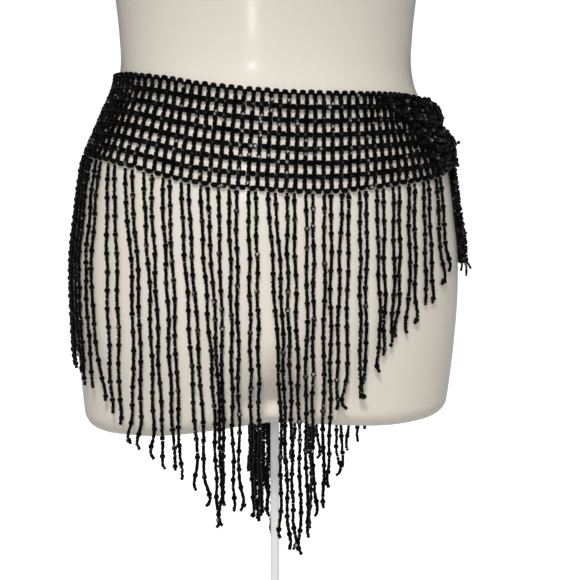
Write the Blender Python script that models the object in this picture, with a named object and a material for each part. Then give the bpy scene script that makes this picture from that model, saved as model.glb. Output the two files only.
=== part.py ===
"""Beaded net hip belt with a long pointed bead fringe, tied at the hip of a limbless hip form on a stand.

Metres, +Z up. The form faces -Y and the belt is tied at its +X hip. The origin is on the form's axis,
on the floor. Angles round the form run from its front towards +X. Places on
the belt are lengths along its hem from the front fringe's point, also towards +X.
"""

import math

import bmesh
import bpy
import numpy as np

SEAT_GAP = 0.0003  # between pieces that rest on each other or are joined by a seam
SHARP_ANGLE = math.radians(45)  # edges bent more than this look sharp

# ---------------------------------------------------------------- stand
BASE_RADIUS = 0.150
BASE_THICKNESS = 0.008
BASE_EDGE_BEVEL = 0.0025
POLE_RADIUS = 0.004
POLE_EDGE_BEVEL = 0.0006
STAND_ASIDE = 0.0078  # the stand's middle is this far off the form's axis, towards +X
BASE_SIDES = 40
POLE_SIDES = 16
BEVEL_STEPS = 2

# ---------------------------------------------------------------- hip form
FORM_UNDERSIDE = 0.212  # over the floor
FORM_HEIGHT = 0.450
FORM_SQUARENESS = 2.25  # 2 is an ellipse, more is fuller at the corners
FORM_RING_SIDES = 48
FORM_ROW_STEP = 0.0200
FORM_ROUND_STEPS = 3
FORM_BOTTOM_ROUND = 0.015
FORM_TOP_ROUND = 0.034
END_SHARES = (0.66, 0.33, 0.07)  # sizes of the rings inside each end, as shares of the end's own
# height over the underside, half of the width, reach to the front, reach to the back
FORM_ROWS = (
    (0.000, 0.1655, 0.096, 0.102),
    (0.040, 0.1705, 0.099, 0.109),
    (0.080, 0.1746, 0.103, 0.118),
    (0.120, 0.1768, 0.106, 0.126),
    (0.155, 0.1763, 0.108, 0.128),
    (0.190, 0.1722, 0.110, 0.124),
    (0.222, 0.1680, 0.110, 0.116),
    (0.245, 0.1632, 0.108, 0.109),
    (0.265, 0.1542, 0.105, 0.102),
    (0.285, 0.1456, 0.102, 0.096),
    (0.305, 0.1358, 0.099, 0.092),
    (0.325, 0.1320, 0.097, 0.090),
    (0.350, 0.1327, 0.097, 0.091),
    (0.385, 0.1362, 0.099, 0.094),
    (0.450, 0.1460, 0.103, 0.097),
)
# the soft hollow between the two thigh stubs, up the front, up the back and along the underside
HOLLOW_DEPTH = 0.046
HOLLOW_HALF_WIDTH = 0.060
HOLLOW_HEIGHT = 0.090
LIP_HEIGHT = 0.027  # the hollow's lower edge comes forward again over this height
LIP_SHARE = 0.60
UNDERSIDE_RISE = 0.0075
UNDERSIDE_HALF_WIDTH = 0.105
UNDERSIDE_SLOPE = 0.032  # the underside's rise towards the +X side
UNDERSIDE_FADE = 0.060  # height over which the rise and the slope die out
POLE_SEAT_HALF_WIDTH = 0.014  # the underside is flat this far to each side of the pole

# ---------------------------------------------------------------- net band
NET_CLEARANCE = 0.0009  # from the form to the net's inside
NET_THICKNESS = 0.0030
NET_RIB = 0.0006  # how far each row of beads stands out over the cells
NET_CELL_ROWS = 7
NET_SEGMENTS = 64
NET_INSIDE_POINTS = 5
# angle in degrees, height of the hem and of the top edge over the floor
BAND_ROWS = (
    (-180, 0.4430, 0.5250),
    (-135, 0.4510, 0.5265),
    (-95, 0.4595, 0.5272),
    (-72, 0.4576, 0.5302),
    (-55, 0.4500, 0.5286),
    (-40, 0.4412, 0.5244),
    (-20, 0.4353, 0.5197),
    (-3, 0.4326, 0.5170),
    (24, 0.4309, 0.5150),
    (38, 0.4333, 0.5144),
    (52, 0.4368, 0.5132),
    (66, 0.4405, 0.5098),
    (78, 0.4460, 0.5030),
    (86, 0.4505, 0.4980),
    (98, 0.4480, 0.5030),
    (130, 0.4410, 0.5170),
)
FRINGE_POINT_ANGLE = math.radians(9)
KNOT_POSITION = 0.190
KNOT_GAP = 0.026  # along the hem, between the two ends of the net
EDGE_SAMPLES = 2881  # points in two turns of an edge, whose length is added up along them

# ---------------------------------------------------------------- fringe
# number of a crossing of the net's hem, counted from the lone strand, and its place along the hem
CROSSING_ROWS = (
    (-68, -0.696),
    (-12, -0.178),
    (-7, -0.129),
    (-2, -0.087),
    (7, -0.013),
    (16, 0.059),
    (20, 0.092),
    (24, 0.127),
    (29, 0.175),
)
PAIR_SHIFT = 0.00095  # neighbours hang in pairs, each drawn this far to the other
BUNDLE = (-46, -39)  # the first and the last crossing whose strands hang in one bundle, not in pairs
STRAND_WIDTH = 0.0024
STRAND_TIP_WIDTH = 0.0015
STRIP_HEIGHT = 0.0024
STRIP_THICKNESS = 0.0022
STRAND_CLEARANCE = 0.0016
HANG_LEAN = 0.04  # how fast a strand swings back in below the form's widest part
HANG_SAMPLES = 16
STRAND_LEVELS = (0.004, 0.024, 0.048, 0.074, 0.105, 0.150, 0.225, 0.300)
SHORTEST_STEP = 0.012
# both fringes: name, the first and the last crossing that they hang from
FRINGES = (
    ("fringe_front", -21, 26),
    ("fringe_back", -67, -22),
)
# number of the crossing, length of its strand, and how far the strand stands aside a quarter of the
# way down, seven tenths of the way down and at its tip
FRINGE_ROWS = (
    (-67, 0.092, 0.000, 0.000, 0.000),
    (-64, 0.128, 0.000, 0.000, 0.000),
    (-58, 0.207, 0.000, 0.000, 0.000),
    (-56, 0.258, 0.009, 0.020, 0.019),
    (-54, 0.277, 0.007, 0.015, 0.015),
    (-53, 0.294, 0.007, 0.015, 0.013),
    (-52, 0.301, 0.004, 0.009, 0.007),
    (-51, 0.285, 0.008, 0.018, 0.018),
    (-50, 0.354, 0.006, 0.012, 0.012),
    (-49, 0.281, 0.004, 0.008, 0.008),
    (-47, 0.305, 0.006, 0.012, 0.010),
    (-46, 0.363, 0.006, 0.014, 0.010),
    (-44, 0.331, 0.000, 0.001, 0.000),
    (-42, 0.350, -0.006, -0.012, -0.013),
    (-39, 0.305, -0.014, -0.032, -0.033),
    (-38, 0.243, -0.005, -0.010, -0.010),
    (-36, 0.240, 0.000, 0.000, 0.000),
    (-30, 0.220, 0.000, 0.000, 0.000),
    (-21, 0.174, 0.000, 0.000, 0.000),
    (-14, 0.204, 0.000, 0.000, 0.003),
    (-13, 0.214, 0.000, 0.001, 0.009),
    (-12, 0.223, 0.005, 0.005, 0.005),
    (-10, 0.246, 0.008, 0.008, 0.004),
    (-7, 0.261, 0.003, 0.004, 0.006),
    (-5, 0.268, 0.002, 0.003, 0.004),
    (-4, 0.275, 0.003, 0.007, 0.010),
    (-2, 0.304, 0.003, 0.009, 0.009),
    (-1, 0.301, 0.003, 0.007, 0.008),
    (0, 0.282, 0.001, 0.001, 0.001),
    (2, 0.285, 0.000, 0.000, 0.000),
    (4, 0.288, 0.001, 0.002, 0.003),
    (5, 0.309, 0.005, 0.012, 0.012),
    (6, 0.319, 0.005, 0.010, 0.014),
    (7, 0.318, 0.001, 0.006, 0.008),
    (8, 0.322, 0.002, 0.007, 0.010),
    (9, 0.306, 0.002, 0.003, 0.007),
    (12, 0.262, 0.001, 0.003, 0.004),
    (13, 0.193, -0.001, -0.001, -0.001),
    (15, 0.184, 0.001, 0.004, 0.006),
    (16, 0.185, 0.001, 0.003, 0.005),
    (17, 0.162, 0.001, 0.006, 0.007),
    (19, 0.143, 0.000, 0.002, 0.000),
    (22, 0.126, -0.002, 0.000, 0.000),
    (26, 0.086, 0.000, 0.000, 0.004),
    (29, 0.080, 0.000, 0.000, 0.003),
)
RAGGED = 0.004  # how uneven the lengths are between the table's rows
RAGGED_TURN = 2.4  # from one crossing to the next, in radians
BEND_SHARES = (0, 0.25, 0.7, 1)  # where down a strand the table tells how far aside it stands

# ---------------------------------------------------------------- knot and ties
KNOT_SIDES = 16
KNOT_RINGS = 13
KNOT_WRAPS = 3
KNOT_WRAP_DEPTH = 0.09  # of the knot's own size
KNOT_WRAP_TURN = math.radians(150)
TIE_SIDES = 8
# place along the hem from the knot's middle, height over the floor, out, half width, half thickness
KNOT_ROWS = (
    (0.0000, 0.4460, 0.0056, 0.0070, 0.0036),
    (0.0000, 0.4500, 0.0056, 0.0106, 0.0038),
    (0.0000, 0.4560, 0.0058, 0.0122, 0.0042),
    (0.0000, 0.4640, 0.0066, 0.0126, 0.0052),
    (0.0000, 0.4710, 0.0074, 0.0122, 0.0060),
    (0.0000, 0.4780, 0.0062, 0.0106, 0.0048),
    (0.0000, 0.4825, 0.0046, 0.0076, 0.0030),
)
TUFT_ROWS = (
    (-0.0010, 0.4828, 0.0046, 0.0058, 0.0028),
    (-0.0015, 0.4885, 0.0060, 0.0084, 0.0040),
    (-0.0015, 0.4950, 0.0074, 0.0094, 0.0052),
    (-0.0020, 0.5000, 0.0068, 0.0084, 0.0048),
    (-0.0025, 0.5040, 0.0050, 0.0056, 0.0032),
    (-0.0030, 0.5070, 0.0040, 0.0026, 0.0018),
)
LONG_TIE_ROWS = (
    (0.0026, 0.4457, 0.0052, 0.0038, 0.0030),
    (0.0014, 0.4370, 0.0046, 0.0042, 0.0030),
    (0.0002, 0.4250, 0.0044, 0.0040, 0.0027),
    (-0.0004, 0.4120, 0.0045, 0.0040, 0.0027),
    (0.0000, 0.3960, 0.0049, 0.0044, 0.0031),
    (0.0006, 0.3800, 0.0055, 0.0050, 0.0036),
    (0.0012, 0.3660, 0.0052, 0.0050, 0.0036),
    (0.0014, 0.3570, 0.0052, 0.0042, 0.0034),
)
SHORT_TIE_ROWS = (
    (-0.0044, 0.4457, 0.0046, 0.0022, 0.0026),
    (-0.0068, 0.4370, 0.0038, 0.0019, 0.0020),
    (-0.0078, 0.4200, 0.0036, 0.0019, 0.0019),
    (-0.0082, 0.4000, 0.0036, 0.0019, 0.0019),
    (-0.0082, 0.3820, 0.0037, 0.0019, 0.0020),
    (-0.0078, 0.3660, 0.0037, 0.0014, 0.0014),
)
# the long tie's three loose ends: corners of its last ring that each grows from, then the tip's place
LONG_TIE_TIPS = (
    ((5, 6, 7), 0.0050, 0.3510, 0.0122),
    ((0, 1, 3, 4, 5, 7), 0.0010, 0.3440, 0.0076),
    ((1, 2, 3), -0.0040, 0.3495, 0.0026),
)
TIE_TIP_SHARE = 0.45  # size of each tip, of what it grows from


def through(xs, ys, x):
    """The value at x of a smooth curve through the points (xs, ys), in cubic pieces."""
    xs, ys = np.asarray(xs, float), np.asarray(ys, float)
    slopes = np.gradient(ys, xs)
    x = np.clip(x, xs[0], xs[-1])
    i = np.clip(np.searchsorted(xs, x, side="right") - 1, 0, len(xs) - 2)
    step = xs[i + 1] - xs[i]
    t = (x - xs[i]) / step
    start = (1 + 2 * t) * (1 - t) ** 2 * ys[i] + t * (1 - t) ** 2 * step * slopes[i]
    end = t**2 * (3 - 2 * t) * ys[i + 1] + t**2 * (t - 1) * step * slopes[i + 1]
    return start + end


def smooth_step(t):
    """0 below 0, 1 above 1, and an S-curve between."""
    t = np.clip(t, 0, 1)
    return t * t * (3 - 2 * t)


def hollow(x, half_width):
    """1 in the middle between the thigh stubs, fading to 0 at the hollow's sides."""
    return np.cos(np.clip(x / half_width, -1, 1) * math.pi / 2) ** 2


def form_radius(angle, z):
    """Distance from the form's axis to its side: a superellipse, less the hollow."""
    angle, z = np.broadcast_arrays(np.asarray(angle, float), np.asarray(z, float))
    rows = np.array(FORM_ROWS)
    height = z - FORM_UNDERSIDE
    width, front, back = (through(rows[:, 0], rows[:, i], height) for i in (1, 2, 3))
    depth = np.where(np.cos(angle) > 0, front, back)
    across = np.abs(np.sin(angle) / width) ** FORM_SQUARENESS
    along = np.abs(np.cos(angle) / depth) ** FORM_SQUARENESS
    radius = (across + along) ** (-1 / FORM_SQUARENESS)
    fade = np.clip(1 - height / HOLLOW_HEIGHT, 0, 1) ** 2
    fade -= LIP_SHARE * smooth_step(1 - height / LIP_HEIGHT)
    return radius - HOLLOW_DEPTH * fade * hollow(radius * np.sin(angle), HOLLOW_HALF_WIDTH)


def place(angle, radius, z):
    """The point at that angle, radius and height, as an array of x, y, z."""
    angle, radius, z = np.broadcast_arrays(angle, radius, z)
    return np.stack([radius * np.sin(angle), -radius * np.cos(angle), z], axis=-1)


def edge_height(column, angle):
    """Height of one of the band's edges, from BAND_ROWS carried on all round."""
    rows = np.array(BAND_ROWS)
    turns = np.concatenate([rows[:, 0] - 360, rows[:, 0], rows[:, 0] + 360])
    heights = np.tile(rows[:, column], 3)
    degrees = (np.degrees(angle) + 180) % 360 - 180
    return through(turns, heights, degrees)


def hem_height(angle):
    return edge_height(1, angle)


def top_height(angle):
    return edge_height(2, angle)


class Edge:
    """Lengths along one edge of the band, from the angle of the fringe's point, and the angles there."""

    def __init__(self, height):
        self.angles = FRINGE_POINT_ANGLE + np.linspace(-2 * math.pi, 2 * math.pi, EDGE_SAMPLES)
        heights = height(self.angles)
        points = place(self.angles, form_radius(self.angles, heights), heights)
        steps = np.linalg.norm(np.diff(points, axis=0), axis=1)
        self.lengths = np.concatenate([[0], np.cumsum(steps)])
        self.lengths -= np.interp(FRINGE_POINT_ANGLE, self.angles, self.lengths)
        self.round = self.lengths[-1]

    def angle(self, length):
        return np.interp(length, self.lengths, self.angles)


HEM = Edge(hem_height)
TOP = Edge(top_height)
NET_START = KNOT_POSITION + KNOT_GAP / 2 - HEM.round
NET_END = KNOT_POSITION - KNOT_GAP / 2


def net_point(position, rise, out):
    """A point of the net: rise is 0 at the hem and 1 at the top edge, out its distance from the form."""
    low, high = HEM.angle(position), TOP.angle(position * TOP.round / HEM.round)
    angle = low + (high - low) * rise
    z = hem_height(angle) + (top_height(angle) - hem_height(angle)) * rise
    return place(angle, form_radius(angle, z) + out, z)


def new_object(name, points, faces, material, smooth=True):
    mesh = bpy.data.meshes.new(name)
    mesh.from_pydata([tuple(map(float, p)) for p in points], [], [tuple(map(int, f)) for f in faces])
    mesh.validate()
    if smooth:
        mesh.shade_smooth()
        mesh.set_sharp_from_angle(angle=SHARP_ANGLE)
    obj = bpy.data.objects.new(name, mesh)
    obj.data.materials.append(material)
    bpy.context.scene.collection.objects.link(obj)
    return obj


def finish(name, colour, roughness, metallic=0.0):
    """A Principled BSDF material."""
    material = bpy.data.materials.new(name)
    material.use_nodes = True
    shader = material.node_tree.nodes["Principled BSDF"]
    shader.inputs["Base Color"].default_value = (*colour, 1.0)
    shader.inputs["Roughness"].default_value = roughness
    shader.inputs["Metallic"].default_value = metallic
    material.diffuse_color = (*colour, 1.0)
    return material


def tube_faces(rings, sides):
    """Faces of a closed tube whose rings of points turn the same way: its side, then its two ends."""
    faces = [
        (r * sides + i, r * sides + (i + 1) % sides, (r + 1) * sides + (i + 1) % sides, (r + 1) * sides + i)
        for r in range(rings - 1)
        for i in range(sides)
    ]
    last = (rings - 1) * sides
    faces.append(tuple(range(sides))[::-1])
    faces.append(tuple(last + i for i in range(sides)))
    return faces


def form_rings():
    """(height, inset) of the form's rings, with its two ends rounded."""
    low, high = FORM_UNDERSIDE, FORM_UNDERSIDE + FORM_HEIGHT
    turns = np.linspace(0, math.pi / 2, FORM_ROUND_STEPS + 1)[:-1]
    rounds = [(1 - math.cos(turn), 1 - math.sin(turn)) for turn in turns]
    bottom = [(low + FORM_BOTTOM_ROUND * up, FORM_BOTTOM_ROUND * inward) for up, inward in rounds]
    top = [(high - FORM_TOP_ROUND * down, FORM_TOP_ROUND * inward) for down, inward in rounds[::-1]]
    first, last = low + FORM_BOTTOM_ROUND, high - FORM_TOP_ROUND
    middle = [(z, 0.0) for z in np.linspace(first, last, round((last - first) / FORM_ROW_STEP) + 1)]
    return bottom + middle + top


def lift_underside(points):
    """Raises the points near the underside in the hollow's middle and towards +X."""
    fade = smooth_step(1 - (points[:, 2] - FORM_UNDERSIDE) / UNDERSIDE_FADE)
    x = points[:, 0] - np.clip(points[:, 0], -POLE_SEAT_HALF_WIDTH, POLE_SEAT_HALF_WIDTH)
    lift = UNDERSIDE_RISE * hollow(x, UNDERSIDE_HALF_WIDTH) + UNDERSIDE_SLOPE * x
    points[:, 2] += fade * lift
    return points


def make_form(material):
    angles = np.linspace(0, 2 * math.pi, FORM_RING_SIDES, endpoint=False)
    rings = [place(angles, form_radius(angles, z) - inset, z) for z, inset in form_rings()]
    shares = np.array(END_SHARES)
    flat = np.array([1, 1, 0])
    bottom = [rings[0] * np.where(flat, share, 1) for share in sorted(shares)]
    top = [rings[-1] * np.where(flat, share, 1) for share in sorted(shares, reverse=True)]
    rings = bottom + rings + top
    points = lift_underside(np.concatenate(rings))
    return new_object("hip_form", points, tube_faces(len(rings), FORM_RING_SIDES), material)


def make_disc(name, radius, sides, low, high, bevel, material):
    """A round plate or rod standing on the stand's axis, its rims bevelled."""
    mesh = bmesh.new()
    bmesh.ops.create_cone(
        mesh, cap_ends=True, segments=sides, radius1=radius, radius2=radius, depth=high - low
    )
    rims = [e for e in mesh.edges if len({round(v.co.z, 6) for v in e.verts}) == 1]
    bmesh.ops.bevel(mesh, geom=rims, offset=bevel, segments=BEVEL_STEPS, profile=0.5, affect="EDGES")
    bmesh.ops.translate(mesh, verts=mesh.verts, vec=(STAND_ASIDE, 0, (low + high) / 2))
    data = bpy.data.meshes.new(name)
    mesh.to_mesh(data)
    mesh.free()
    data.shade_smooth()
    data.set_sharp_from_angle(angle=SHARP_ANGLE)
    obj = bpy.data.objects.new(name, data)
    data.materials.append(material)
    bpy.context.scene.collection.objects.link(obj)
    return obj


def net_section():
    """The wall's section as rise and out, up its ribbed outside and down its plain inside."""
    crests = np.arange(2 * NET_CELL_ROWS + 1)
    outside = NET_CLEARANCE + NET_THICKNESS - NET_RIB * (crests % 2)
    inside_rise = np.linspace(1, 0, NET_INSIDE_POINTS)
    rise = np.concatenate([crests / crests[-1], inside_rise])
    out = np.concatenate([outside, np.full(NET_INSIDE_POINTS, NET_CLEARANCE)])
    return rise, out


def make_net(material):
    rise, out = net_section()
    positions = np.linspace(NET_START, NET_END, NET_SEGMENTS + 1)
    points = np.concatenate([net_point(position, rise, out) for position in positions])
    faces = tube_faces(len(positions), len(rise))
    return new_object("net_band", points, [face[::-1] for face in faces], material)


def strand_position(number):
    """Place along the hem of the strand at that crossing, drawn towards its pair if it has one."""
    rows = np.array(CROSSING_ROWS)
    pair = np.sign(number) * (PAIR_SHIFT if number % 2 else -PAIR_SHIFT)
    if BUNDLE[0] <= number <= BUNDLE[1]:
        pair = 0
    return np.interp(number, rows[:, 0], rows[:, 1]) + pair


def strand_size(number):
    """Length and bends of the strand at that crossing; the length is uneven where the table skips it."""
    rows = np.array(FRINGE_ROWS)
    length, *bends = (np.interp(number, rows[:, 0], column) for column in rows[:, 1:].T)
    if number not in rows[:, 0]:
        length += RAGGED * math.sin(RAGGED_TURN * number)
    return length, bends


def strand_root(position):
    return hem_height(HEM.angle(position)) - SEAT_GAP - STRIP_HEIGHT


def strand_middle(number, drops):
    """Places, heights and outs of a strand's middle line at those drops below its root.

    It lies on the form as far as the widest part and swings back in slowly below it.
    """
    position = strand_position(number)
    length, bends = strand_size(number)
    side = position + through(np.array(BEND_SHARES), np.array([0, *bends]), drops / length)
    z = strand_root(position) - drops
    angle = HEM.angle(side)
    above = strand_root(position) - drops[:, None] * np.linspace(0, 1, HANG_SAMPLES)
    reach = form_radius(angle[:, None], above) - HANG_LEAN * (above - z[:, None])
    out = reach.max(axis=1) - form_radius(angle, z) + STRAND_CLEARANCE + STRIP_THICKNESS / 2
    return side, z, out


def on_form(side, z, out):
    """The point at that place along the hem, height and distance out from the form."""
    angle = HEM.angle(side)
    return place(angle, form_radius(angle, z) + out, z)


def strand_drops(length):
    """Drops below the root of one strand's rings, the last one at its tip."""
    inner = [drop for drop in STRAND_LEVELS if drop < length - SHORTEST_STEP]
    return np.array(inner + [length])


def strip_ring(station):
    """The four corners of the strip's section at that place along the hem."""
    hem = hem_height(HEM.angle(station)) - SEAT_GAP
    low = hem - STRIP_HEIGHT
    inner, outer = STRAND_CLEARANCE, STRAND_CLEARANCE + STRIP_THICKNESS
    return [on_form(station, z, out) for z, out in ((hem, inner), (hem, outer), (low, outer), (low, inner))]


def make_fringe(name, first, last, material):
    """A narrow strip along the hem with every strand drawn down out of its underside."""
    numbers = range(first, last + 1)
    half = STRAND_WIDTH / 2
    stations = [strand_position(number) + side for number in numbers for side in (-half, half)]
    points = [corner for station in stations for corner in strip_ring(station)]
    faces = []
    for s in range(len(stations) - 1):
        a, b = 4 * s, 4 * s + 4
        faces += [(a, a + 1, b + 1, b), (a + 1, a + 2, b + 2, b + 1), (a + 3, a, b, b + 3)]
        if s % 2:
            faces.append((a + 2, a + 3, b + 3, b + 2))
    end = 4 * (len(stations) - 1)
    faces += [(3, 2, 1, 0), (end, end + 1, end + 2, end + 3)]
    for i, number in enumerate(numbers):
        ring = [8 * i + 2, 8 * i + 3, 8 * i + 7, 8 * i + 6]
        length, _ = strand_size(number)
        drops = strand_drops(length)
        widths = np.interp(drops, [0, length], [STRAND_WIDTH, STRAND_TIP_WIDTH]) / 2
        for side, z, out, wide in zip(*strand_middle(number, drops), widths):
            corners = ((-wide, wide), (-wide, -wide), (wide, -wide), (wide, wide))
            below = list(range(len(points), len(points) + 4))
            points += [on_form(side + across, z, out + depth) for across, depth in corners]
            faces += [(ring[k], ring[(k + 1) % 4], below[(k + 1) % 4], below[k]) for k in range(4)]
            ring = below
        faces.append(tuple(ring))
    return new_object(name, points, faces, material, smooth=False)


def tie_rings(rows, sides, swell=None):
    """Rings of points round a tie's middle line; swell scales each ring's points by angle and share."""
    turn = np.linspace(2 * math.pi, 0, sides, endpoint=False)
    rings = []
    for i, (along, z, out, half_width, half_thickness) in enumerate(rows):
        scale = 1 if swell is None else swell(turn, i / (len(rows) - 1))
        side = KNOT_POSITION + along + half_width * scale * np.cos(turn)
        rings.append(on_form(side, z, out + half_thickness * scale * np.sin(turn)))
    return rings


def knot_wraps(turn, share):
    """The knot's turns of bead strands: shallow valleys that wind round it as they rise."""
    return 1 - KNOT_WRAP_DEPTH * np.cos(KNOT_WRAPS * (turn + KNOT_WRAP_TURN * share)) ** 2


def finer(rows, count):
    """The rows' smooth curve at evenly spread heights."""
    rows = np.array(rows)
    heights = np.linspace(rows[0, 1], rows[-1, 1], count)
    return np.stack([through(rows[:, 1], rows[:, i], heights) for i in range(rows.shape[1])], axis=1)


def make_knot(material):
    rings = tie_rings(finer(KNOT_ROWS, KNOT_RINGS), KNOT_SIDES, knot_wraps)
    return new_object("knot", np.concatenate(rings), tube_faces(len(rings), KNOT_SIDES), material)


def make_tie(name, rows, material, tips=()):
    """A tie from the knot, ending plainly or in loose tips that grow out of its last ring."""
    rings = tie_rings(rows, TIE_SIDES)
    points = list(np.concatenate(rings))
    faces = tube_faces(len(rings), TIE_SIDES)
    if rows[0][1] > rows[-1][1]:
        faces = [face[::-1] for face in faces]
    if tips:
        faces.pop()
    last = (len(rings) - 1) * TIE_SIDES
    for corners, along, z, out in tips:
        root = [last + corner for corner in corners]
        tip = on_form(KNOT_POSITION + along, z, out)
        middle = np.mean([points[i] for i in root], axis=0)
        end = list(range(len(points), len(points) + len(root)))
        points += [tip + (points[i] - middle) * TIE_TIP_SHARE for i in root]
        pairs = list(zip(range(len(root)), list(range(1, len(root))) + [0]))
        faces += [(root[b], root[a], end[a], end[b]) for a, b in pairs]
        faces.append(tuple(end)[::-1])
    return new_object(name, points, faces, material)


def main():
    for obj in list(bpy.data.objects):
        bpy.data.objects.remove(obj)
    cream = finish("form_gloss", (0.80, 0.77, 0.71), 0.22)
    white = finish("stand_white", (0.82, 0.81, 0.79), 0.35)
    black = finish("bead_black", (0.010, 0.010, 0.011), 0.25)
    make_form(cream)
    make_disc("stand_base", BASE_RADIUS, BASE_SIDES, 0.0, BASE_THICKNESS, BASE_EDGE_BEVEL, white)
    pole_top = FORM_UNDERSIDE + UNDERSIDE_RISE - SEAT_GAP
    pole_foot = BASE_THICKNESS + SEAT_GAP
    make_disc("stand_pole", POLE_RADIUS, POLE_SIDES, pole_foot, pole_top, POLE_EDGE_BEVEL, white)
    make_net(black)
    for name, first, last in FRINGES:
        make_fringe(name, first, last, black)
    make_knot(black)
    make_tie("knot_tuft", TUFT_ROWS, black)
    make_tie("tie_long", LONG_TIE_ROWS, black, LONG_TIE_TIPS)
    make_tie("tie_short", SHORT_TIE_ROWS, black)


main()
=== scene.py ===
# %% [markdown]
# # A beaded hip belt for belly dancing, on a hip form
#
# The belt is a net of black glass beads, seven cells tall, wrapped round the hips and tied at one
# side. A fringe of bead strings hangs from its hem and is graded to a point at the front and another
# at the back. It lies on a limbless form of glossy cream plastic, which stands on a thin pole.
#
# Thousands of beads could be placed by an array modifier or by geometry nodes, but here each place
# follows the form's curves, so every bead is worked out with numpy: one small bead shape is copied
# to all the places at once, as one mesh.

# %% Load the imported frame, with each solid's placing applied to its mesh
import math

import bpy
import numpy as np
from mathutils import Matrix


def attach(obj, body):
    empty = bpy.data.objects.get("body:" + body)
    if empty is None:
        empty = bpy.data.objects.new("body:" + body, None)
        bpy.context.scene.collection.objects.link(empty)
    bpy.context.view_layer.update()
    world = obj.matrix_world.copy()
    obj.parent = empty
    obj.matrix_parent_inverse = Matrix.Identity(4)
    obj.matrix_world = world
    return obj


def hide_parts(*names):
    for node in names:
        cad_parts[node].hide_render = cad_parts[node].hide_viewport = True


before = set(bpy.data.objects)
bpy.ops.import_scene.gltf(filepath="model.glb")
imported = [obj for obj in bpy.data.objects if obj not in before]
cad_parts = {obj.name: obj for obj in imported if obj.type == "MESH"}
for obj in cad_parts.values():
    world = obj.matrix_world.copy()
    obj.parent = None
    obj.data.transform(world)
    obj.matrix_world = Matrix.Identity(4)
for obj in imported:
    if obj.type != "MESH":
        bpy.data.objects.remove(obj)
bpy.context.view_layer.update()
rng = np.random.default_rng(41)
print("solids:", sorted(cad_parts))

# %% [markdown]
# ## The form's shape
#
# A hip form is a smooth closed shell. A sculpted mesh would do, but the belt has to lie on the form
# everywhere, so the form is a formula: at each height its section is a superellipse whose width and
# depth come from a short table, less a soft hollow between the two thigh stubs. The same formula then
# places each bead at a set distance out from the surface.

# %% The form's sizes, in metres
FORM_UNDERSIDE = 0.212
FORM_HEIGHT = 0.450
FORM_SQUARENESS = 2.25
FORM_BOTTOM_ROUND = 0.015
FORM_TOP_ROUND = 0.034
# height over the underside, half of the width, reach to the front, reach to the back
FORM_ROWS = np.array([
    (0.000, 0.1655, 0.096, 0.102),
    (0.040, 0.1705, 0.099, 0.109),
    (0.080, 0.1746, 0.103, 0.118),
    (0.120, 0.1768, 0.106, 0.126),
    (0.155, 0.1763, 0.108, 0.128),
    (0.190, 0.1722, 0.110, 0.124),
    (0.222, 0.1680, 0.110, 0.116),
    (0.245, 0.1632, 0.108, 0.109),
    (0.265, 0.1542, 0.105, 0.102),
    (0.285, 0.1456, 0.102, 0.096),
    (0.305, 0.1358, 0.099, 0.092),
    (0.325, 0.1320, 0.097, 0.090),
    (0.350, 0.1327, 0.097, 0.091),
    (0.385, 0.1362, 0.099, 0.094),
    (0.450, 0.1460, 0.103, 0.097),
])
HOLLOW_DEPTH = 0.046
HOLLOW_HALF_WIDTH = 0.060
HOLLOW_HEIGHT = 0.090
LIP_HEIGHT = 0.027
LIP_SHARE = 0.60
UNDERSIDE_RISE = 0.0075
UNDERSIDE_HALF_WIDTH = 0.105
UNDERSIDE_SLOPE = 0.032
UNDERSIDE_FADE = 0.060
POLE_SEAT_HALF_WIDTH = 0.014


# %% The form's formula
def through(xs, ys, x):
    """Smooth curve through (xs, ys): between two points, the cubic that has both ends' mean slopes."""
    slopes = np.gradient(ys, xs)
    x = np.clip(x, xs[0], xs[-1])
    i = np.clip(np.searchsorted(xs, x, side="right") - 1, 0, len(xs) - 2)
    step = xs[i + 1] - xs[i]
    t = (x - xs[i]) / step
    start = (1 + 2 * t) * (1 - t) ** 2 * ys[i] + t * (1 - t) ** 2 * step * slopes[i]
    end = t**2 * (3 - 2 * t) * ys[i + 1] + t**2 * (t - 1) * step * slopes[i + 1]
    return start + end


def smooth_step(t):
    """0 below 0, 1 above 1, and three t squared less two t cubed between."""
    t = np.clip(t, 0, 1)
    return t * t * (3 - 2 * t)


def hollow(x, half_width):
    """Cosine squared of x over the half width: 1 in the middle, 0 at the sides."""
    return np.cos(np.clip(x / half_width, -1, 1) * math.pi / 2) ** 2


def form_radius(angle, z):
    """Superellipse radius: (|sin|/width)^n + (|cos|/depth)^n, to the power -1/n, less the hollow."""
    angle, z = np.broadcast_arrays(np.asarray(angle, float), np.asarray(z, float))
    height = z - FORM_UNDERSIDE
    width, front, back = (through(FORM_ROWS[:, 0], FORM_ROWS[:, i], height) for i in (1, 2, 3))
    depth = np.where(np.cos(angle) > 0, front, back)
    across = np.abs(np.sin(angle) / width) ** FORM_SQUARENESS
    along = np.abs(np.cos(angle) / depth) ** FORM_SQUARENESS
    radius = (across + along) ** (-1 / FORM_SQUARENESS)
    fade = np.clip(1 - height / HOLLOW_HEIGHT, 0, 1) ** 2
    fade -= LIP_SHARE * smooth_step(1 - height / LIP_HEIGHT)
    return radius - HOLLOW_DEPTH * fade * hollow(radius * np.sin(angle), HOLLOW_HALF_WIDTH)


def place(angle, radius, z):
    """Polar to Cartesian: x is radius times sine, y is minus radius times cosine."""
    angle, radius, z = np.broadcast_arrays(angle, radius, z)
    return np.stack([radius * np.sin(angle), -radius * np.cos(angle), z], axis=-1)


HIP_HEIGHT = FORM_ROWS[3, 0]
print("hips %.0f mm wide" % (2000 * form_radius(math.pi / 2, FORM_UNDERSIDE + HIP_HEIGHT)))

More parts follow.
